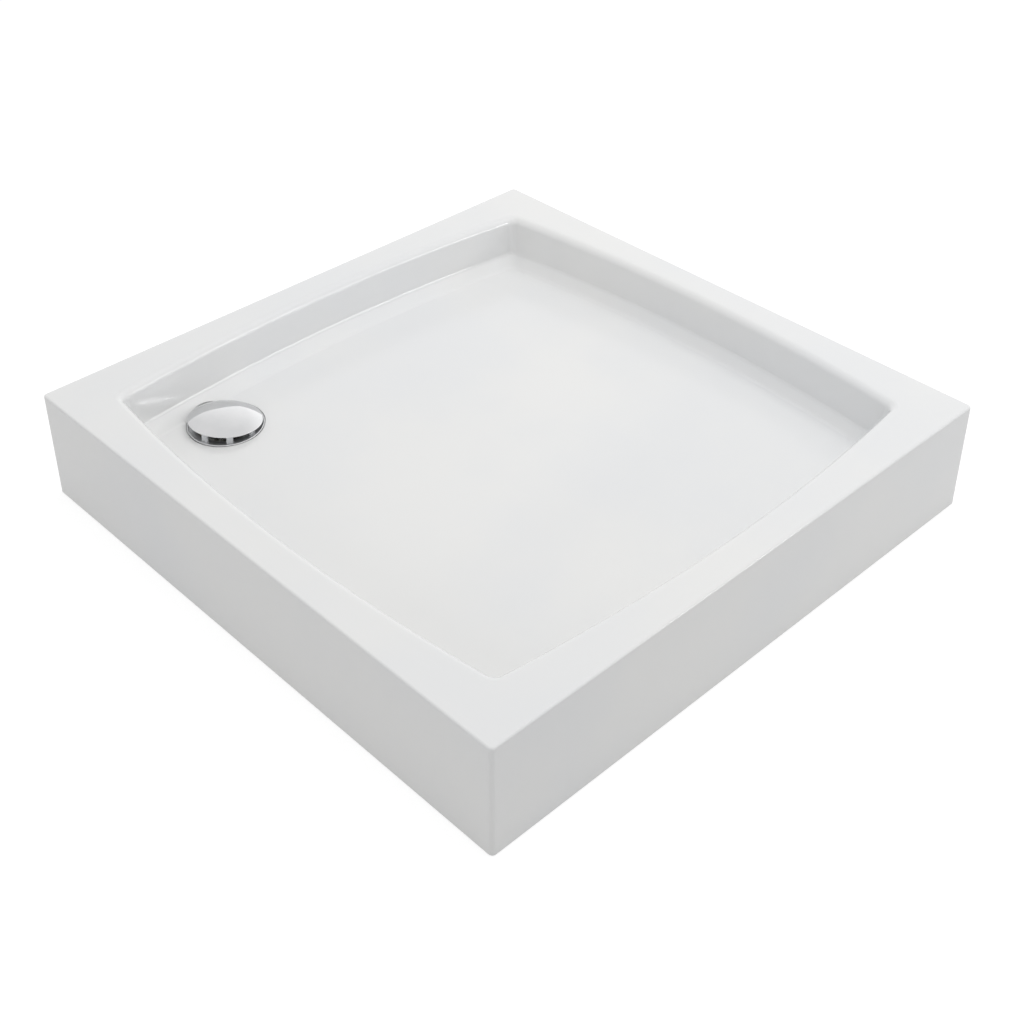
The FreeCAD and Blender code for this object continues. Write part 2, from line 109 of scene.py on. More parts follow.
class Paint(NodeTree):
    def __init__(self, name, **fixed):
        self.material = bpy.data.materials.new(name)
        self.material.use_nodes = True
        super().__init__(self.material.node_tree)
        self.shader = self.tree.nodes["Principled BSDF"]
        for socket, value in fixed.items():    # Base_Color=... sets the socket Base Color
            self.shader.inputs[socket.replace("_", " ")].default_value = value

    def place(self, scale=(1, 1, 1), turn=(0, 0, 0)):      # metres in the object's frame
        where = self.node("ShaderNodeTexCoord", output="Object")
        return self.node("ShaderNodeMapping", {}, {0: where, "Rotation": turn, "Scale": scale})

    def noise(self, where, scale, detail=3.0, rough=0.5):
        inputs = {0: where, "Scale": scale, "Detail": detail, "Roughness": rough}
        return self.node("ShaderNodeTexNoise", {}, inputs)

    def cells(self, where, scale, feature="F1", output=0):
        return self.node("ShaderNodeTexVoronoi", {"feature": feature}, {0: where, "Scale": scale}, output)

    def waves(self, where, settings, inputs):
        return self.node("ShaderNodeTexWave", settings, {0: where, **inputs}, "Fac")

    def channel(self, colour, output):         # 0, 1 or 2: red, green or blue
        return self.node("ShaderNodeSeparateColor", {}, {0: colour}, output)

    def mix(self, factor, low, high):          # colours
        return self.node("ShaderNodeMix", {"data_type": "RGBA"}, {0: factor, 6: low, 7: high}, 2)

    def bump(self, height, depth, strength, before=None):
        inputs = {"Height": height, "Distance": depth, "Strength": strength}
        if before is not None:
            inputs["Normal"] = before
        return self.node("ShaderNodeBump", {}, inputs)

    def wire(self, **values):                  # Base_Color=..., Roughness=..., Normal=...
        for socket, value in values.items():
            self.tree.links.new(value.socket, self.shader.inputs[socket.replace("_", " ")])
        return self.material


def rgb(red, green, blue):                     # colour as a picture shows it, 0 to 255
    linear = []
    for level in (red / 255, green / 255, blue / 255):
        linear.append(level / 12.92 if level <= 0.04045 else ((level + 0.055) / 1.055) ** 2.4)
    return (*linear, 1.0)


# finishes: a scale is how often a pattern repeats in a metre, a depth is in metres

acrylicLook = {
    "white": rgb(235, 235, 234), "cool": rgb(231, 232, 233), "roughness": 0.17,
    "cloudScale": 3.5, "polishScale": 60.0, "peelScale": 420.0, "peelDepth": 0.00002,
    "sagScale": 9.0, "sagDepth": 0.0004}


def acrylicPaint():
    look = acrylicLook
    paint = Paint("acrylic", Coat_Weight=0.25, Coat_Roughness=0.06, IOR=1.49)
    where = paint.place()
    cloud = paint.noise(where, look["cloudScale"], 4.0).smooth(0.35, 0.7)
    polish = paint.noise(where, look["polishScale"], 5.0, 0.6)
    peel = paint.noise(where, look["peelScale"], 2.0)
    sag = paint.noise(where, look["sagScale"], 2.0)
    relief = paint.bump(peel, look["peelDepth"], 0.35, paint.bump(sag, look["sagDepth"], 0.15))
    return paint.wire(
        Base_Color=paint.mix(cloud, look["white"], look["cool"]),
        Roughness=look["roughness"] + 0.07 * (polish - 0.5) + 0.03 * cloud, Normal=relief)


fibreLook = {
    "resin": rgb(214, 205, 170), "strand": rgb(232, 228, 208), "deep": rgb(186, 172, 128),
    "strandScale": (26.0, 420.0, 26.0), "patchScale": 34.0, "layers": 5, "firstTurn": 0.2,
    "nextTurn": 0.66, "nextPatch": 0.9, "matDepth": 0.0005, "dripDepth": 0.0012}


def strands(paint, layer):                     # short straight glass fibres lying one way
    look = fibreLook
    turn = look["firstTurn"] + layer * look["nextTurn"]
    lines = paint.noise(paint.place(look["strandScale"], (0, 0, turn)), 1.0, 1.0)
    patch = paint.noise(paint.place((1, 1, 1), (layer * look["nextPatch"], 0, 0)), look["patchScale"], 1.0)
    return lines.smooth(0.60, 0.68) * patch.smooth(0.42, 0.56)


def fibrePaint():
    look = fibreLook
    paint = Paint("glassFibre", Coat_Weight=0.3, Coat_Roughness=0.2)
    mat = strands(paint, 0)
    for layer in range(1, look["layers"]):
        mat = mat + strands(paint, layer)
    mat = mat.smooth(0.1, 0.9)
    blot = paint.noise(paint.place(), 11.0, 5.0, 0.6)
    resin = paint.mix(blot.smooth(0.35, 0.65), look["deep"], look["resin"])
    drips = paint.noise(paint.place((1, 1, 0.35)), 60.0, 4.0)
    relief = paint.bump(mat, look["matDepth"], 0.6, paint.bump(drips, look["dripDepth"], 0.5))
    return paint.wire(
        Base_Color=paint.mix(mat * 0.75, resin, look["strand"]), Roughness=0.32 + 0.3 * blot, Normal=relief)


boardLook = {
    "pale": rgb(206, 176, 128), "mid": rgb(178, 142, 94), "dark": rgb(128, 94, 58),
    "chipScale": 170.0, "crumbScale": 420.0, "grainScale": (40, 300, 300), "chipDepth": 0.00035}


def boardPaint():
    look = boardLook
    paint = Paint("chipboard", Specular_IOR_Level=0.3)
    warp = paint.place((1, 1, 2.5))
    tone = paint.channel(paint.cells(warp, look["chipScale"], output=1), 0)
    crumb = paint.channel(paint.cells(warp, look["crumbScale"], output=1), 1)
    grain = paint.noise(paint.place(look["grainScale"], (0, 0, 0.5)), 1.0, 3.0)
    edge = paint.cells(warp, look["chipScale"], "DISTANCE_TO_EDGE").smooth(0.0, 0.12)
    colour = paint.mix(tone, look["pale"], look["mid"])
    colour = paint.mix((crumb > 0.82) * 0.8, colour, look["dark"])
    colour = paint.mix(grain.smooth(0.45, 0.75) * 0.35, colour, look["dark"])
    return paint.wire(
        Base_Color=colour, Roughness=0.72 + 0.2 * grain,
        Normal=paint.bump(edge + crumb * 0.5, look["chipDepth"], 0.5))


battenLook = {
    "early": rgb(222, 190, 140), "late": rgb(176, 128, 76), "knot": rgb(112, 72, 40),
    "ring": (1.2, 16.0), "fibre": (8, 900), "knots": (6, 14),  # scales along and across the strip
    "rings": {"Scale": 3.4, "Distortion": 5.0, "Detail": 2.0, "Detail Scale": 1.2},
    "saw": {"Scale": 95.0, "Distortion": 1.6, "Detail": 1.0}, "depth": 0.0002}


def battenPaint(name, axis):
    look = battenLook
    paint = Paint("softwood" + name, Specular_IOR_Level=0.3)

    def drawnOut(pattern):
        along, across = look[pattern]
        return paint.place((along, across, across) if axis == "X" else (across, along, across))

    where = drawnOut("ring")
    bend = paint.noise(where, 1.3, 2.0)
    rings = paint.waves(where, {"wave_type": "RINGS", "rings_direction": axis}, look["rings"])
    fibres = paint.noise(drawnOut("fibre"), 1.0, 3.0)
    saw = paint.waves(paint.place(), {"bands_direction": axis}, look["saw"])
    knots = paint.cells(drawnOut("knots"), 1.0).smooth(0.13, 0.05)
    colour = paint.mix(rings.smooth(0.35, 0.85), look["early"], look["late"])
    colour = paint.mix(fibres.smooth(0.5, 0.8) * 0.35, colour, look["late"])
    colour = paint.mix(knots, colour, look["knot"])
    return paint.wire(
        Base_Color=colour, Roughness=0.66 + 0.22 * bend,
        Normal=paint.bump(saw, look["depth"], 0.4, paint.bump(fibres, look["depth"], 0.5)))


zincLook = {
    "light": rgb(206, 209, 212), "dark": rgb(158, 163, 168),
    "flakeScale": 115.0, "frostScale": 900.0, "smearScale": 14.0, "frostDepth": 0.00005}


def spanglePaint():                            # hot dipped zinc
    look = zincLook
    paint = Paint("galvanised", Metallic=1.0)
    where = paint.place()
    flake = paint.channel(paint.cells(where, look["flakeScale"], output=1), 0)
    frost = paint.noise(where, look["frostScale"], 2.0)
    smear = paint.noise(where, look["smearScale"], 4.0)
    return paint.wire(
        Base_Color=paint.mix(flake * 0.8 + 0.2 * smear, look["light"], look["dark"]),
        Roughness=0.27 + 0.2 * flake + 0.12 * frost, Normal=paint.bump(frost, look["frostDepth"], 0.4))


platedLook = {
    "turned": (90, 90, 2600), "pressed": (2200, 140, 140),     # scales of the tool marks
    "stainScale": 130.0, "lineDepth": 0.00003}


def platedPaint(name, light, dark, roughness, marks):      # zinc plated small parts
    look = platedLook
    paint = Paint(name, Metallic=1.0)
    lines = paint.noise(paint.place(look[marks]), 1.0, 2.0)
    stain = paint.noise(paint.place(), look["stainScale"], 4.0, 0.6)
    return paint.wire(
        Base_Color=paint.mix(stain.smooth(0.35, 0.75), light, dark),
        Roughness=roughness + 0.16 * lines + 0.1 * stain, Normal=paint.bump(lines, look["lineDepth"], 0.5))


chromeLook = {
    "wipeScale": 38.0, "dustScale": 700.0, "dustPatchScale": 90.0, "waveScale": 30.0, "waveDepth": 0.00004}


def chromePaint(name, tone, edge, roughness):
    look = chromeLook
    paint = Paint(name, Metallic=1.0)
    where = paint.place()
    wipe = paint.noise(where, look["wipeScale"], 4.0, 0.6)
    dusty = paint.noise(where, look["dustPatchScale"], 1.0).smooth(0.55, 0.7)
    dust = paint.cells(where, look["dustScale"]).smooth(0.16, 0.05) * dusty
    wave = paint.noise(where, look["waveScale"], 1.0)
    return paint.wire(
        Base_Color=paint.mix(wipe.smooth(0.3, 0.8), tone, edge),
        Roughness=roughness + 0.03 * wipe + 0.08 * dust, Normal=paint.bump(wave, look["waveDepth"], 0.1))


mouldedLook = {"flowScale": 26.0, "flowStretch": (1, 1, 0.3), "scuffScale": 340.0}


def mouldedPaint(name, pale, dark, roughness, texture, depth=0.00006):
    look = mouldedLook
    paint = Paint(name)
    where = paint.place()
    spark = paint.noise(where, texture, 3.0, 0.6)
    flow = paint.noise(paint.place(look["flowStretch"]), look["flowScale"], 4.0)
    scuff = paint.noise(where, look["scuffScale"], 5.0, 0.75).smooth(0.62, 0.74)
    return paint.wire(
        Base_Color=paint.mix(flow.smooth(0.3, 0.75), pale, dark),
        Roughness=roughness + 0.14 * (flow - 0.5) + 0.12 * scuff, Normal=paint.bump(spark, depth, 0.5))


paints = {
    "acrylic": acrylicPaint(),
    "glass_fibre": fibrePaint(),
    "board": boardPaint(),
    "batten_wood": battenPaint("AlongX", "X"),
    "galvanised_steel": spanglePaint(),
    "screw_steel": platedPaint("screwSteel", rgb(214, 206, 176), rgb(190, 186, 168), 0.26, "turned"),
    "nut_steel": platedPaint("nutSteel", rgb(205, 208, 211), rgb(176, 180, 186), 0.3, "pressed"),
    "rod_steel": platedPaint("rodSteel", rgb(208, 210, 214), rgb(178, 183, 190), 0.25, "turned"),
    "foot_plastic": mouldedPaint("footPlastic", rgb(44, 44, 46), rgb(34, 34, 36), 0.42, 900.0, 0.00012),
    "seal_rubber": mouldedPaint("sealRubber", rgb(36, 36, 37), rgb(28, 28, 29), 0.66, 1400.0, 0.00005),
    "bright_flange": chromePaint("brightFlange", rgb(222, 222, 223), rgb(216, 217, 218), 0.4),
    "cap_chrome": chromePaint("capChrome", rgb(220, 220, 221), rgb(216, 217, 218), 0.03),
    "trap_plastic": mouldedPaint("trapPlastic", rgb(236, 236, 232), rgb(229, 229, 224), 0.38, 1100.0),
    "nut_plastic": mouldedPaint("nutPlastic", rgb(226, 226, 223), rgb(218, 218, 214), 0.36, 900.0),
    "pipe_plastic": mouldedPaint("pipePlastic", rgb(232, 232, 229), rgb(225, 225, 221), 0.3, 500.0, 0.00002),
    "carrier_plastic": mouldedPaint("carrierPlastic", rgb(226, 228, 230), rgb(219, 221, 224), 0.3, 700.0),
}
crossBatten = battenPaint("AlongY", "Y")
print("finishes made,", len(paints) + 1)


# the construction, as it comes from the frame, gets its finishes
for part in frame["record"]["subparts"]:
    name, slot = part["node"], part["material_slot"]
    finish = crossBatten if name in ("rim_batten_left", "rim_batten_right") else paints[slot]
    nodes[name].data.materials.clear()
    nodes[name].data.materials.append(finish)


# what the scene's own pieces are made with, in millimetres

def addRings(form, rings, count, place, closed=True):
    rows = []                                  # a ring is (radius, height), or gives them for an angle
    for ring in rings:
        row = []
        for step in range(count):
            angle = 2 * math.pi * step / count
            radius, height = ring(angle) if callable(ring) else ring
            spot = Vector((radius * math.cos(angle), radius * math.sin(angle), height))
            row.append(form.verts.new(place @ (spot * mm)))
        rows.append(row)
    if closed:
        rows.append(rows[0])
    else:
        form.faces.new(rows[0])
        form.faces.new(rows[-1])
    for low, high in zip(rows, rows[1:]):
        for step in range(count):
            after = (step + 1) % count
            form.faces.new((low[step], low[after], high[after], high[step]))


def addBar(form, outline, start, end, place):              # outline is (y, z) points, the bar runs along x
    ends = []
    for x in (start, end):
        ends.append([form.verts.new(place @ (Vector((x, y, z)) * mm)) for y, z in outline])
        form.faces.new(ends[-1])
    for step in range(len(outline)):
        after = (step + 1) % len(outline)
        form.faces.new((ends[0][step], ends[0][after], ends[1][after], ends[1][step]))


def makePiece(name, form, body, slotName, replaced=(), crease=32.0):
    bmesh.ops.remove_doubles(form, verts=form.verts, dist=merge)
    bmesh.ops.dissolve_degenerate(form, edges=form.edges, dist=merge)
    bmesh.ops.recalc_face_normals(form, faces=form.faces)
    mesh = bpy.data.meshes.new(name)
    form.to_mesh(mesh)
    form.free()
    mesh.polygons.foreach_set("use_smooth", [True] * len(mesh.polygons))
    mesh.set_sharp_from_angle(angle=math.radians(crease))
    mesh.materials.append(paints[slotName])
    piece = bpy.data.objects.new(name, mesh)
    scene.collection.objects.link(piece)
    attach(piece, body)
    if replaced:
        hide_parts(*replaced)
    return piece


def at(x, y, z=0.0):                           # a place in the frame
    return Matrix.Translation(Vector((x, y, z)) * mm)


def turned(degrees, axis="Z"):
    return Matrix.Rotation(math.radians(degrees), 4, axis)


def near(reach, level, offsets):               # outline points, each by its offset outwards and upwards
    return [(reach + out, level + up) for out, up in offsets]


def hexReach(flats, angle):                    # from the middle of a hexagon to its side
    return flats / 2 / math.cos((angle + math.pi / 6) % (math.pi / 3) - math.pi / 6)


def arcPoints(middleY, middleZ, radius, first, last, steps=4):
    turns = [math.radians(first + (last - first) * step / steps) for step in range(steps + 1)]
    return [(middleY + radius * math.cos(turn), middleZ + radius * math.sin(turn)) for turn in turns]


plan = {                                       # where things lie under the tray
    "footSide": 290, "frontRow": -300, "centreRow": -55, "backRow": 185,
    "railScrews": (-240, -80, 80, 240), "plateScrews": (-35, 35)}

feet = {
    "front_left": (-plan["footSide"], plan["frontRow"]),
    "front_right": (plan["footSide"], plan["frontRow"]),
    "back_left": (-plan["footSide"], plan["backRow"]),
    "back_right": (plan["footSide"], plan["backRow"]),
    "centre": (0, plan["centreRow"])}

rod = {
    "crest": 6.0, "root": 4.93, "pitch": 1.75, "low": 4.0, "high": 83.0, "tip": 1.1, "endMiddle": 1.0,
    "profile": (0.0, 0.14, 0.5, 0.64),         # shares of the pitch: flat crest, flank, flat root, flank
    "flats": 14.0, "hexLow": 16.5, "hexHigh": 24.0, "hexSunk": 0.3, "around": 28}


def addThread(form, place):
    rows, around, offsets = [], rod["around"], rod["profile"]
    depths = (rod["crest"], rod["crest"], rod["root"], rod["root"])
    perTurn = len(offsets)
    count = perTurn * (int((rod["high"] - rod["low"]) / rod["pitch"]) + 2)
    for row in range(count):
        ring = []
        for step in range(around):
            turns = row // perTurn + offsets[row % perTurn] + step / around - 1
            level = rod["low"] + rod["pitch"] * turns
            radius = min(depths[row % perTurn], rod["crest"] - rod["tip"] + max(rod["high"] - level, 0))
            if level < rod["low"] or level > rod["high"]:
                radius = rod["crest"] - rod["tip"]
                level = min(max(level, rod["low"]), rod["high"])
            angle = 2 * math.pi * step / around
            spot = Vector((radius * math.cos(angle), radius * math.sin(angle), level))
            ring.append(form.verts.new(place @ (spot * mm)))
        rows.append(ring)
    for row in range(count - 1):
        low, high = rows[row], rows[row + 1]
        for step in range(around - 1):
            form.faces.new((low[step], low[step + 1], high[step + 1], high[step]))
        if row + perTurn + 1 < count:          # one turn runs on into the next
            form.faces.new((low[-1], rows[row + perTurn][0], rows[row + perTurn + 1][0], high[-1]))


collar = {"faceShare": 0.47, "chamfer": 30, "boreEdge": 0.5, "around": 72}


def addCollar(form, place, flats, low, high, bore):        # hexagon with turned-off corners
    face, edge = collar["faceShare"] * flats, collar["boreEdge"]
    fall = math.tan(math.radians(collar["chamfer"]))

    def side(end, way):
        return lambda angle: (hexReach(flats, angle), end - way * (hexReach(flats, angle) - face) * fall)

    rings = [(bore + edge, low), (bore, low + edge), (bore, high - edge), (bore + edge, high)]
    rings += [(face, high), side(high, 1), side(low, -1), (face, low)]
    addRings(form, rings, collar["around"], place)


for name, (x, y) in feet.items():
    form = bmesh.new()
    addThread(form, at(x, y))
    for end in (rod["low"], rod["high"]):
        endRings = [(rod["crest"] - rod["tip"], end), (rod["endMiddle"], end)]
        addRings(form, endRings, rod["around"], at(x, y), False)
    addCollar(form, at(x, y), rod["flats"], rod["hexLow"], rod["hexHigh"], rod["root"] - rod["hexSunk"])
    makePiece("threadedRod_" + name, form, "rod_" + name, "rod_steel", ["foot_rod_" + name], 25.0)
print("rods made")

nut = {
    "flats": 19.0, "bore": 6.1,
    "weld": (56.0, 66.0), "lock": (49.0, 56.0),                # low and high of each kind
    "bead": ((0.3, -2.6), (1.3, -2.2), (1.9, -1.2), (2.1, 0.0)), "beadAround": 12}

for kind in ("weld", "lock"):
    form = bmesh.new()
    low, high = nut[kind]
    for x, y in feet.values():
        addCollar(form, at(x, y), nut["flats"], low, high, nut["bore"])
        if kind == "weld":                     # beads of weld round the top of the nut
            for corner in range(6):
                bead = at(x, y) @ turned(60 * corner + 30) @ at(nut["flats"] / 2, 0)
                addRings(form, near(0.0, high, nut["bead"]), nut["beadAround"], bead, False)
    makePiece(kind + "Nuts", form, "tray", "nut_steel", [kind + "_nuts"])
print("nuts made")

pad = {
    "socket": 6.06, "socketFloor": 4.0, "socketEdge": 0.4, "top": 16.0, "neck": 12.0, "neckEdge": 0.7,
    "cone": ((12.6, 14.0), (13.8, 12.2), (16.5, 9.9), (19.0, 7.7)),        # the ribs stand out of it
    "skirt": ((20.9, 6.1), (23.6, 4.9), (24.6, 4.3), (25.0, 3.6), (25.0, 1.2), (24.7, 0.4), (24.0, 0.0)),
    "ribs": 8, "ribDepth": 1.6, "ribFrom": 0.55, "ribEase": 0.25,
    "grooves": (21.0, 17.0, 13.0, 9.0), "grip": 0.5, "grooveMouth": 0.9, "grooveFloor": 0.6,
    "soleMiddle": 2.0, "middle": 0.3, "around": 96}


def padRibs(radius, height):                   # webs that stand out of the cone
    def ring(angle):
        wave = math.cos(angle * pad["ribs"])
        valley = 1 - min(1, max(0, (wave - pad["ribFrom"]) / pad["ribEase"]))
        return radius - pad["ribDepth"] * valley, height
    return ring


def padOutline():                              # the socket, the cone and the sole, in reverse
    socket, top, neck = pad["socket"], pad["top"], pad["neck"]
    rings = [(pad["middle"], pad["socketFloor"]), (socket, pad["socketFloor"])]
    rings += [(socket, top - pad["socketEdge"]), (socket + pad["socketEdge"], top)]
    rings += [(neck - pad["neckEdge"], top), (neck, top - pad["neckEdge"])]
    rings += [padRibs(radius, height) for radius, height in pad["cone"]]
    rings += pad["skirt"]
    mouth, inner, grip = pad["grooveMouth"], pad["grooveFloor"], pad["grip"]
    for groove in pad["grooves"]:              # rings in the sole that grip the floor
        rings += near(groove, 0.0, ((mouth, 0.0), (inner, grip), (-inner, grip), (-mouth, 0.0)))
    rings += [(pad["soleMiddle"], 0.0), (pad["middle"], 0.0)]
    return rings[::-1]


for name, (x, y) in feet.items():
    form = bmesh.new()
    addRings(form, padOutline(), pad["around"], at(x, y), False)
    makePiece("footPad_" + name, form, "pad_" + name, "foot_plastic", ["foot_pad_" + name], 40.0)
print("pads made")

woodScrew = {
    "head": 4.4, "rise": 2.6, "shank": 2.0, "length": 14.5, "slot": 0.42, "reach": 2.3, "deep": 1.5}
wasteScrew = {
    "head": 3.1, "rise": 2.2, "shank": 1.9, "length": 9.0, "slot": 0.36, "reach": 1.9, "deep": 1.3}

screwForm = {                                  # what both screws share
    "tip": 0.2, "point": 2.0, "pointShare": 0.7, "threadLow": 2.6, "threadHigh": 1.0, "neck": 0.5,
    "pitch": 1.0, "flank": 0.5, "coreShare": 0.72,
    "dome": ((1.0, 0.0), (1.0, 0.25), (0.94, 0.55), (0.8, 0.8)),           # shares of head and rise
    "rim": ((0.25, 0.9), (0.0, 0.91)),         # outwards of the recess, and the share of the rise
    "recess": (0.97, 0.75, 0.5, 0.3, 0.12), "crown": 0.1, "taper": 0.45, "hub": 0.8, "hubExtra": 0.25,
    "around": 48}


def addScrew(form, place, look):               # seat at 0, head above it, cross recess in the head
    head, rise, shank, length, reach = (look[key] for key in ("head", "rise", "shank", "length", "reach"))

    def crossed(radius):
        slot = look["slot"] + screwForm["hubExtra"] * (radius < screwForm["hub"])
        top = rise * (1 - screwForm["crown"] * (radius / reach) ** 2)
        sunk = look["deep"] * (1 - screwForm["taper"] * radius / reach)

        def ring(angle):
            inArm = radius * min(abs(math.cos(angle)), abs(math.sin(angle))) < slot
            return radius, top - (sunk if inArm else 0)
        return ring

    rings = [(screwForm["tip"], -length), (screwForm["pointShare"] * shank, screwForm["point"] - length)]
    level = screwForm["threadLow"] - length
    while level < -screwForm["threadHigh"]:    # coarse thread
        rings += [(shank, level), (screwForm["coreShare"] * shank, level + screwForm["flank"])]
        level += screwForm["pitch"]
    rings += [(shank, -screwForm["neck"]), (shank, 0.0)]
    rings += [(share * head, height * rise) for share, height in screwForm["dome"]]
    rings += [(reach + out, height * rise) for out, height in screwForm["rim"]]
    rings += [crossed(reach * share) for share in screwForm["recess"]]
    addRings(form, rings, screwForm["around"], place, False)


screwRows = {
    "front_rail_screws": [(x, plan["frontRow"]) for x in plan["railScrews"]],
    "back_rail_screws": [(x, plan["backRow"]) for x in plan["railScrews"]],
    "centre_plate_screws": [
        (x, plan["centreRow"] + y) for x in plan["plateScrews"] for y in plan["plateScrews"]]}
headTurn, rowTurn = 0.7, 0.3                   # radians, so that the heads stop at different angles
upsideDown = turned(180, "X")

for name, spots in screwRows.items():
    form = bmesh.new()
    for order, (x, y) in enumerate(spots):
        spin = Matrix.Rotation(headTurn * order + rowTurn * len(name), 4, "Z")
        addScrew(form, at(x, y, nut["weld"][1]) @ upsideDown @ spin, woodScrew)
    makePiece("screws_" + name, form, "tray", "screw_steel", [name])

waste = {
    "x": -248.5, "y": 312.0, "under": 84.0,
    "screws": 3, "firstScrew": 30, "screwCircle": 38.6, "screwSeat": -6.5}
wastePlace = at(waste["x"], waste["y"], waste["under"])
form = bmesh.new()
for step in range(waste["screws"]):
    around = turned(waste["firstScrew"] + 360 * step / waste["screws"])
    addScrew(form, wastePlace @ around @ at(waste["screwCircle"], 0, waste["screwSeat"]), wasteScrew)
makePiece("wasteScrews", form, "tray", "screw_steel", ["flange_screws"])
print("screws made")

rail = {"half": 15.0, "web": 2.0, "low": 56.0, "high": 68.0, "reach": 320.0, "bend": 3.2, "hem": 0.6}


def channelOutline():
    inner, bend = rail["half"] - rail["web"], rail["bend"]
    tight = bend - rail["web"]
    right = [(rail["half"] - rail["hem"], rail["low"]), (rail["half"], rail["low"] + rail["hem"])]
    right += arcPoints(rail["half"] - bend, rail["high"] - bend, bend, 0, 90)
    under = [(inner, rail["low"])]
    under += arcPoints(inner - tight, rail["high"] - rail["web"] - tight, tight, 0, 90)
    outside = right + [(-y, z) for y, z in reversed(right)]
    inside = [(-y, z) for y, z in under] + under[::-1]
    return outside + inside


for name, y in (("front_rail", plan["frontRow"]), ("back_rail", plan["backRow"])):
    form = bmesh.new()
    addBar(form, channelOutline(), -rail["reach"], rail["reach"], at(0, y))
    makePiece("channel_" + name, form, "tray", "galvanised_steel", [name])
print("rails made")

batten = {"bevel": 1.4, "bevelSteps": 3}

for side in ("left", "right", "front", "back"):
    low, high = [Vector(corner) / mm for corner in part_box("rim_batten_" + side)]
    alongX = side in ("front", "back")
    middle, half = (low + high) / 2, (high - low) / 2
    reach, across = (half.x, half.y) if alongX else (half.y, half.x)
    bevel, outline = batten["bevel"], []
    for signY, signZ, first in ((1, 1, 0), (-1, 1, 90), (-1, -1, 180), (1, -1, 270)):
        edgeY, edgeZ = signY * (across - bevel), signZ * (half.z - bevel)
        outline += arcPoints(edgeY, edgeZ, bevel, first, first + 90, batten["bevelSteps"])
    turn = Matrix() if alongX else turned(90)
    form = bmesh.new()
    addBar(form, outline, -reach, reach, at(*middle) @ turn)
    piece = makePiece("batten_" + side, form, "tray", "batten_wood", ["rim_batten_" + side], 60.0)
    if not alongX:
        piece.data.materials[0] = crossBatten
print("battens made")

cap = {
    "reach": 53.0, "shoulder": 32.0, "crownSlope": 5.7, "edgeSlope": 22.0, "edge": 15.5, "skin": 1.2,
    "crownSteps": 12, "brimSteps": 18, "around": 192, "pole": 0.4, "lean": 6.6, "leanTurn": 14.0,
    "lip": 1.2, "lipRound": 0.35, "lipFrom": 70, "lipRise": 0.12, "lipDrop": 0.1, "lipBevel": 0.25}


def capArcs(skin):                             # a flat crown that runs on into a steeper brim
    sineCrown, sineEdge = (math.sin(math.radians(cap[slope])) for slope in ("crownSlope", "edgeSlope"))
    cosCrown, cosEdge = (math.cos(math.radians(cap[slope])) for slope in ("crownSlope", "edgeSlope"))
    crown = cap["shoulder"] / sineCrown
    brim = (cap["reach"] - cap["shoulder"]) / (sineEdge - sineCrown)
    brimMiddle = cap["edge"] - brim * cosEdge
    crownMiddle = brimMiddle - (crown - brim) * cosCrown
    brimReach = cap["shoulder"] - brim * sineCrown
    arcs = ((crown, 0.0, crownMiddle, 0.0, cap["crownSlope"], cap["crownSteps"]),
            (brim, brimReach, brimMiddle, cap["crownSlope"], cap["edgeSlope"], cap["brimSteps"]))
    rings = []
    for radius, reach, middle, first, last, steps in arcs:
        away = radius - skin
        for step in range(1, steps + 1):
            angle = math.radians(first + (last - first) * step / steps)
            rings.append((reach + away * math.sin(angle), middle + away * math.cos(angle)))
    return rings


def capOutline():                              # over the outside, round the lip and back inside
    outside, inside = capArcs(0.0), capArcs(cap["skin"])
    reach, edge, lipRound, bevel = cap["reach"], cap["edge"], cap["lipRound"], cap["lipBevel"]
    outside[-1] = (outside[-1][0] - lipRound, outside[-1][1] + cap["lipRise"])
    lip = arcPoints(reach - lipRound, edge - cap["lipDrop"] - lipRound, lipRound, cap["lipFrom"], 0)
    lipLow = edge - cap["lip"]
    lip += [(reach, lipLow + bevel), (reach - bevel, lipLow), (inside[-1][0], lipLow)]
    return [(cap["pole"], outside[0][1])] + outside + lip + inside[::-1] + [(cap["pole"], inside[0][1])]


leanAxis = Matrix.Rotation(math.radians(cap["leanTurn"]), 3, "Z") @ Vector((0, 1, 0))
leanPlace = wastePlace @ at(0, 0, cap["edge"]) @ turned(cap["lean"], leanAxis) @ at(0, 0, -cap["edge"])
form = bmesh.new()
addRings(form, capOutline(), cap["around"], leanPlace, False)
domedCap = makePiece("domedCap", form, "waste_insert", "cap_chrome", ["dome_cap"], 50.0)

gleam = {                                      # where the dome catches the wall and the sky
    "lean": (0.113, -0.254), "gain": 0.955,
    "level": 0.85, "depth": 8.0}               # only what faces up like this, and lies this near the top


def settleGleam(mesh):                         # leans the dome's shading, not its shape
    normals = [corner.vector.copy() for corner in mesh.corner_normals]
    top = leanPlace @ (Vector((0, 0, cap["edge"])) * mm)
    for order, normal in enumerate(normals):
        spot = mesh.vertices[mesh.loops[order].vertex_index].co
        if normal.z > gleam["level"] and spot.z > top.z - gleam["depth"] * mm:
            east = gleam["gain"] * normal.x / normal.z + gleam["lean"][0]
            north = gleam["gain"] * normal.y / normal.z + gleam["lean"][1]
            normals[order] = Vector((east, north, 1)).normalized()
    mesh.normals_split_custom_set(normals)


settleGleam(domedCap.data)

flange = {
    "reach": 54.5, "bore": 42.2, "low": 5.0, "shelf": -8.5, "shelfBore": 33.5, "collar": 43.8,
    "around": 160, "bead": 1.25, "beadRise": 1.35, "beadArc": (-10, 170, 10),          # from, to, steps
    "foot": ((-0.8, 0.0), (-0.2, 0.25)), "slope": ((-3.0, 1.55), (-3.8, 1.5)),
    "mouth": ((1.2, 1.5), (0.4, 1.3), (0.0, 0.8)), "step": ((0.0, 2.4), (-0.4, 2.0)),
    "shelfEdge": ((0.3, 2.0), (0.0, 1.7))}


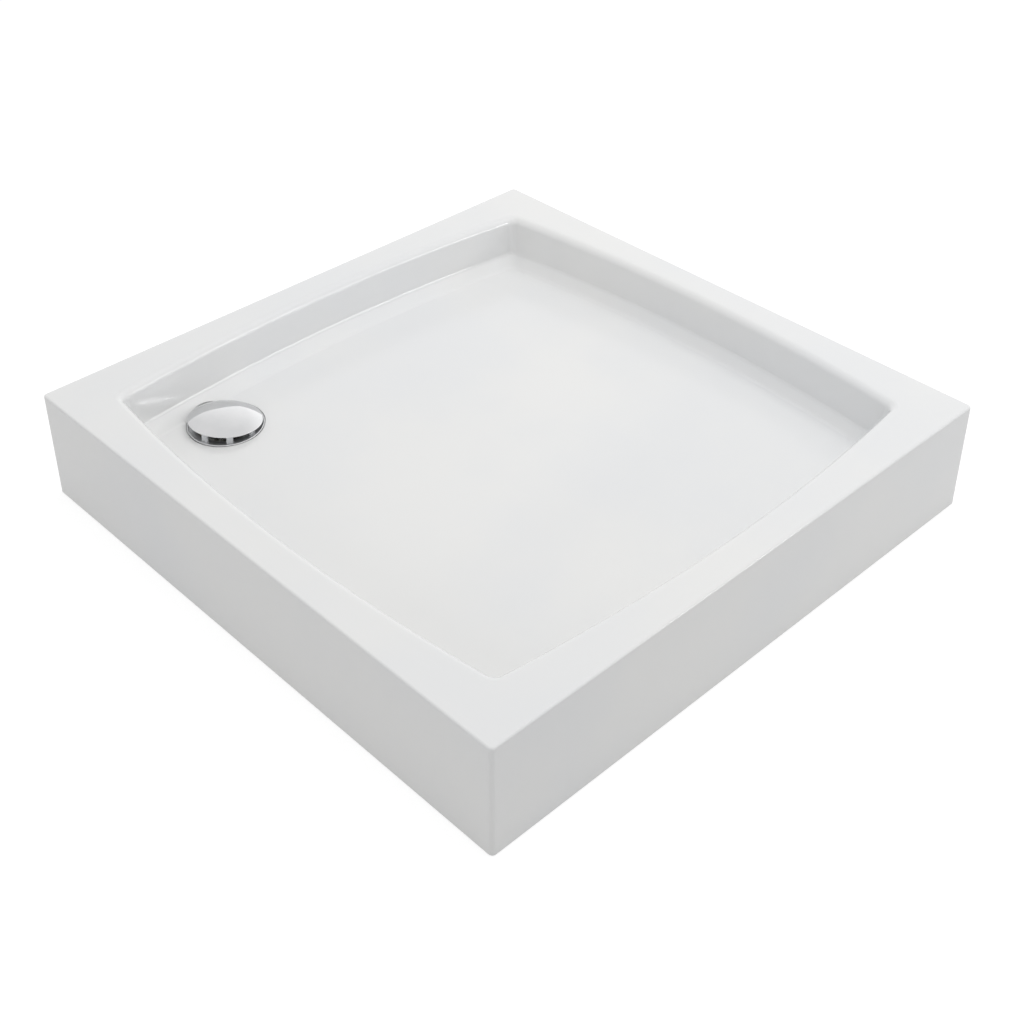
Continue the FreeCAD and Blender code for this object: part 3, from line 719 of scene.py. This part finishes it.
def flangeOutline():
    reach, bore, low, shelf = (flange[key] for key in ("reach", "bore", "low", "shelf"))
    rings = [(flange["shelfBore"], shelf), (flange["collar"], shelf), (flange["collar"], low)]
    rings += near(reach, low, flange["foot"])
    rings += arcPoints(reach - flange["bead"], low + flange["beadRise"], flange["bead"], *flange["beadArc"])
    rings += near(reach, low, flange["slope"]) + near(bore, low, flange["mouth"])
    return rings + near(bore, shelf, flange["step"]) + near(flange["shelfBore"], shelf, flange["shelfEdge"])


form = bmesh.new()
addRings(form, flangeOutline(), flange["around"], wastePlace)
makePiece("flangeRing", form, "tray", "bright_flange", ["waste_flange"], 50.0)
print("waste made")

union = {
    "start": 58.0, "end": 84.0, "outer": 33.0, "depth": -36.5, "inner": 28.1, "neck": 24.8, "around": 144,
    "edge": 0.6, "face": 3.0, "stop": 4.0, "shoulder": ((-3.2, -0.5), (-4.4, 0.0)),
    "startRibs": ((1.0, 0.4), (0.0, 1.6)), "endRibs": ((0.0, -3.2), (0.5, -2.0)),
    "ribs": 12, "groove": 1.6, "grooveFrom": 0.35, "grooveCurve": 0.7}


def ribbed(shrink, along):                     # wide ribs with narrow rounded grooves between
    def ring(angle):
        wave = math.cos(angle * union["ribs"])
        share = max(0, (wave - union["grooveFrom"]) / (1 - union["grooveFrom"]))
        return union["outer"] - shrink - union["groove"] * share ** union["grooveCurve"], along
    return ring


def unionOutline():
    start, end, outer, inner, neck = (union[key] for key in ("start", "end", "outer", "inner", "neck"))
    rings = [(inner, start + union["edge"]), (inner + union["edge"], start), (outer - union["face"], start)]
    rings += [ribbed(shrink, start + along) for shrink, along in union["startRibs"]]
    rings += [ribbed(shrink, end + along) for shrink, along in union["endRibs"]]
    rings += near(outer, end, union["shoulder"])
    rings += [(neck + union["edge"], end), (neck, end - union["edge"])]
    return rings + [(neck, end - union["stop"]), (inner, end - union["stop"])]


alongPipe = wastePlace @ at(0, 0, union["depth"]) @ turned(-90, "X")
form = bmesh.new()
addRings(form, unionOutline(), union["around"], alongPipe)
makePiece("ribbedNut", form, "tray", "nut_plastic", ["union_nut"], 35.0)

gusset = {
    "inner": 45.5, "outer": 55.0, "top": -6.0, "drop": 15.0, "foot": 1.2, "mouth": 2.2, "thick": 2.2,
    "count": 12, "first": 15, "outlet": 90, "clear": 40}       # degrees: no web this near the outlet
inner, outer, top = gusset["inner"], gusset["outer"], gusset["top"]
low, half = top - gusset["drop"], gusset["thick"] / 2
web = [(-inner, low), (-inner - gusset["foot"], low), (-outer, top - gusset["mouth"]), (-outer, top)]
web.append((-inner, top))
form = bmesh.new()
for step in range(gusset["count"]):            # webs between the trap's bowl and its mouth
    turn = gusset["first"] + 360 * step / gusset["count"]
    if abs(turn - gusset["outlet"]) < gusset["clear"]:
        continue
    addBar(form, web, -half, half, wastePlace @ turned(turn) @ turned(90))
makePiece("trapWebs", form, "tray", "trap_plastic")
print("trap fittings made")


# floor, light, camera, in metres

studio = {
    "size": 9.0, "floor": 0.55,                # the floor's reach, and what it sends back up
    "glow": 0.82, "shadow": 0.3,               # what the camera sees of it: its glow, and its shadow
    "sky": 0.565,                              # how much light the sky gives
    "horizon": 1.3, "zenith": 0.9,             # what the camera and metal see of the sky
    "fadeFrom": 0.3, "fadeTo": 0.78}           # between which heights it fades, 1 is overhead

lamps = {
    "topLight": {"place": (0.75, -0.2, 2.5), "aim": (0.15, 0.0, 0.1), "size": (2.2, 2.2), "power": 29.5},
    "leftFill": {"place": (-2.4, -0.8, 1.25), "aim": (0.0, 0.0, 0.1), "size": (1.6, 1.0), "power": 6.2},
    "stripLight": {"place": (1.7, -2.6, 0.75), "aim": (0.0, 0.0, 0.12), "size": (0.6, 0.2), "power": 7.0,
                   "glint": True}}


def grey(level):
    return (level, level, level, 1.0)


def seenDirectly(paint):                       # 1 for the camera, reflections and glass
    path = paint.tree.nodes.new("ShaderNodeLightPath").outputs
    camera, glossy, glass = (
        Value(paint, path[ray]) for ray in ("Is Camera Ray", "Is Glossy Ray", "Is Transmission Ray"))
    return camera + glossy + glass


def makeFloor():
    paint = Paint("studioFloor")
    surface = paint.node("ShaderNodeBsdfDiffuse", {}, {0: grey(studio["floor"])})
    shaded = paint.node("ShaderNodeBsdfDiffuse", {}, {0: grey(studio["shadow"])})
    glow = paint.node("ShaderNodeEmission", {}, {0: grey(1.0), 1: studio["glow"]})
    white = paint.node("ShaderNodeAddShader", {}, {0: shaded, 1: glow})
    shown = paint.node("ShaderNodeMixShader", {}, {0: seenDirectly(paint), 1: surface, 2: white})
    paint.tree.links.new(shown.socket, paint.tree.nodes["Material Output"].inputs["Surface"])
    mesh = bpy.data.meshes.new("studioFloor")
    form = bmesh.new()
    bmesh.ops.create_grid(form, x_segments=1, y_segments=1, size=studio["size"])
    form.to_mesh(mesh)
    form.free()
    mesh.materials.append(paint.material)
    floor = bpy.data.objects.new("studioFloor", mesh)
    scene.collection.objects.link(floor)


def makeSky():
    world = bpy.data.worlds.new("studioSky")
    scene.world = world
    world.use_nodes = True
    sky = NodeTree(world.node_tree)
    where = sky.node("ShaderNodeTexCoord", output="Generated")
    rise = sky.node("ShaderNodeSeparateXYZ", {}, {0: where}, "Z")
    high = rise.smooth(studio["fadeFrom"], studio["fadeTo"])
    seen = studio["horizon"] + high * (studio["zenith"] - studio["horizon"])
    strength = studio["sky"] + seenDirectly(sky) * (seen - studio["sky"])
    back = sky.tree.nodes["Background"].inputs
    back["Color"].default_value = grey(1.0)
    sky.tree.links.new(strength.socket, back["Strength"])


def softBox(name, place, aim, size, power, glint=False):   # glint: whether it shows in reflections
    lamp = bpy.data.lights.new(name, "AREA")
    lamp.shape = "RECTANGLE"
    lamp.size, lamp.size_y, lamp.energy = *size, power
    holder = bpy.data.objects.new(name, lamp)
    holder.location = place
    holder.rotation_euler = (Vector(aim) - Vector(place)).to_track_quat("-Z", "Y").to_euler()
    holder.visible_glossy = glint
    scene.collection.objects.link(holder)


eye = {                                        # degrees, and millimetres for the lens
    "place": (-1.1409, -1.1967, 1.3038), "heading": 43.957, "down": 38.835, "roll": 0.101,
    "lens": 51.94, "sensor": 36.0}


def makeCamera():
    lens = bpy.data.cameras.new("photoView")
    lens.lens, lens.sensor_width = eye["lens"], eye["sensor"]
    heading, down = math.radians(eye["heading"]), math.radians(eye["down"])
    level = math.cos(down)
    ahead = Vector((math.sin(heading) * level, math.cos(heading) * level, -math.sin(down)))
    camera = bpy.data.objects.new("photoView", lens)
    camera.location = eye["place"]
    aimed = ahead.to_track_quat("-Z", "Y").to_matrix().to_4x4()
    camera.rotation_euler = (aimed @ turned(eye["roll"])).to_euler()
    scene.collection.objects.link(camera)
    scene.camera = camera


makeFloor()
makeSky()
for name, lamp in lamps.items():
    softBox(name, **lamp)
makeCamera()
scene.view_settings.view_transform = "Standard"
print("studio ready")
